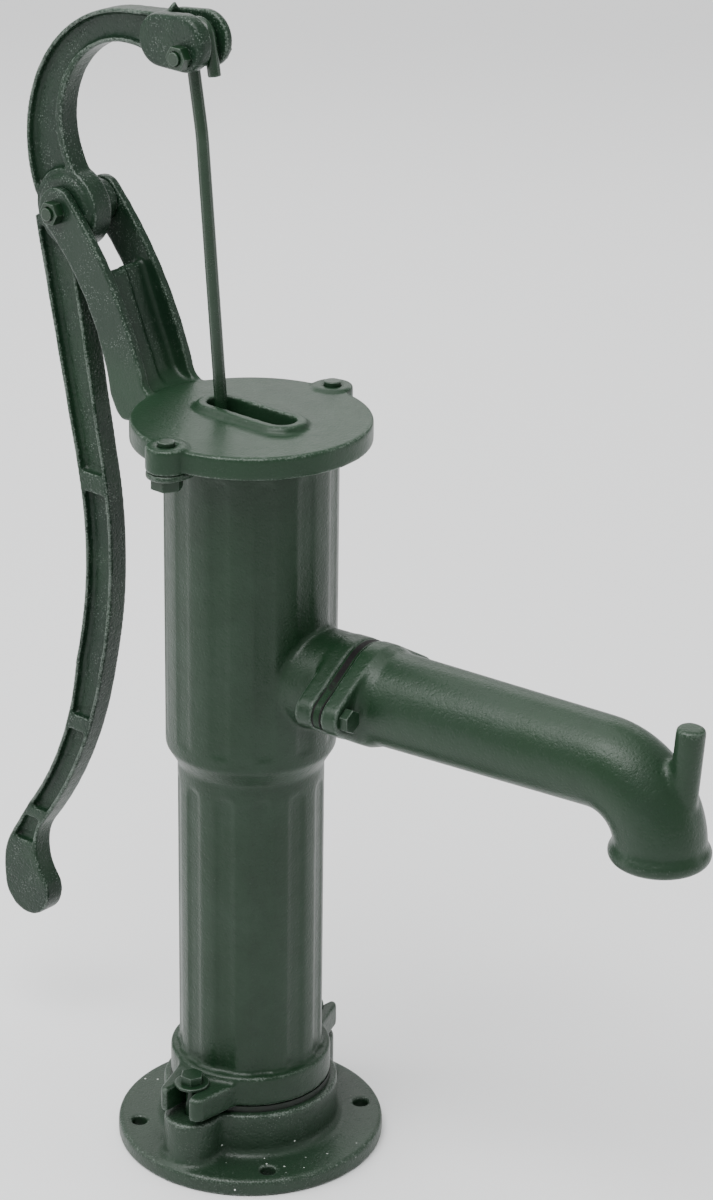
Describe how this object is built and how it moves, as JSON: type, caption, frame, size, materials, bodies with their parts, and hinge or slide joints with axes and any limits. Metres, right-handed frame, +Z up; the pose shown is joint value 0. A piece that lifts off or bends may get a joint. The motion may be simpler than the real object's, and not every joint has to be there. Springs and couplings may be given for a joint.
{
  "type": "hand water pump",
  "caption": "Cast iron pitcher pump: curved hand lever on a fulcrum bracket, slotted cover, fluted cylinder, hooked piston rod, elbow spout and drilled floor base.",
  "frame": {"origin": "centre of the base's underside", "axes": "+Z up, +X out along the spout"},
  "size_m": [0.5322, 0.1684, 0.7192],
  "materials": {
    "green_paint": "satin dark green paint on rough castings",
    "base_paint": "satin dark green paint with worn edges",
    "painted_steel": "painted over bolts",
    "plain_steel": "dull steel",
    "raw_iron": "raw casting",
    "brass": "dull brass",
    "leather": "oiled leather",
    "rubber": "black rubber"
  },
  "bodies": {
    "pump": {"pump_base": "base_paint", "foot_valve_leather": "leather", "pump_cylinder": "green_paint", "base_washers": "painted_steel", "base_bolts": "painted_steel", "spout": "green_paint", "spout_gasket": "rubber", "spout_bolts": "painted_steel", "top_cover": "green_paint", "cover_bolts": "painted_steel", "pivot_bolt": "painted_steel", "pivot_nut": "painted_steel"},
    "foot_flap": {"foot_valve_flap": "leather", "foot_valve_weight": "raw_iron", "foot_valve_washer": "raw_iron", "foot_valve_screw": "plain_steel", "foot_valve_nut": "plain_steel"},
    "lever": {"pump_handle": "green_paint", "rod_bolt": "painted_steel", "rod_bolt_nut": "painted_steel"},
    "rod": {"piston_rod": "plain_steel", "rod_washers": "plain_steel", "rod_nuts": "plain_steel"},
    "plunger": {"plunger_yoke": "raw_iron", "cup_leather": "leather", "plunger_follower": "raw_iron"},
    "lift_valve": {"plunger_valve": "brass"}
  },
  "joints": [
    {"name": "handle_pivot", "type": "hinge", "parent": "pump", "child": "lever", "pos_m": [-0.14385, 0.01563, 0.5805], "axis": [0.108, 0.9942, 0], "range_deg": [0, 45]},
    {"name": "rod_swing", "type": "hinge", "parent": "lever", "child": "rod", "pos_m": [-0.03887, 0.00422, 0.6929], "axis": [0.108, 0.9942, 0], "range_deg": [-38.6, 0]},
    {"name": "plunger_slide", "type": "slide", "parent": "pump", "child": "plunger", "axis": [0, 0, -1], "range_m": [0, 0.1088]},
    {"name": "valve_lift", "type": "slide", "parent": "plunger", "child": "lift_valve", "axis": [0, 0, 1], "range_m": [0, 0.008]},
    {"name": "foot_valve_hinge", "type": "hinge", "parent": "pump", "child": "foot_flap", "pos_m": [-0.032, 0, 0.044], "axis": [0, -1, 0], "range_deg": [0, 30]}
  ],
  "couplings": [
    {"joint": "rod_swing", "follows": "handle_pivot", "ratio": -0.8555},
    {"joint": "plunger_slide", "follows": "handle_pivot", "m_per_rad": 0.1384}
  ]
}
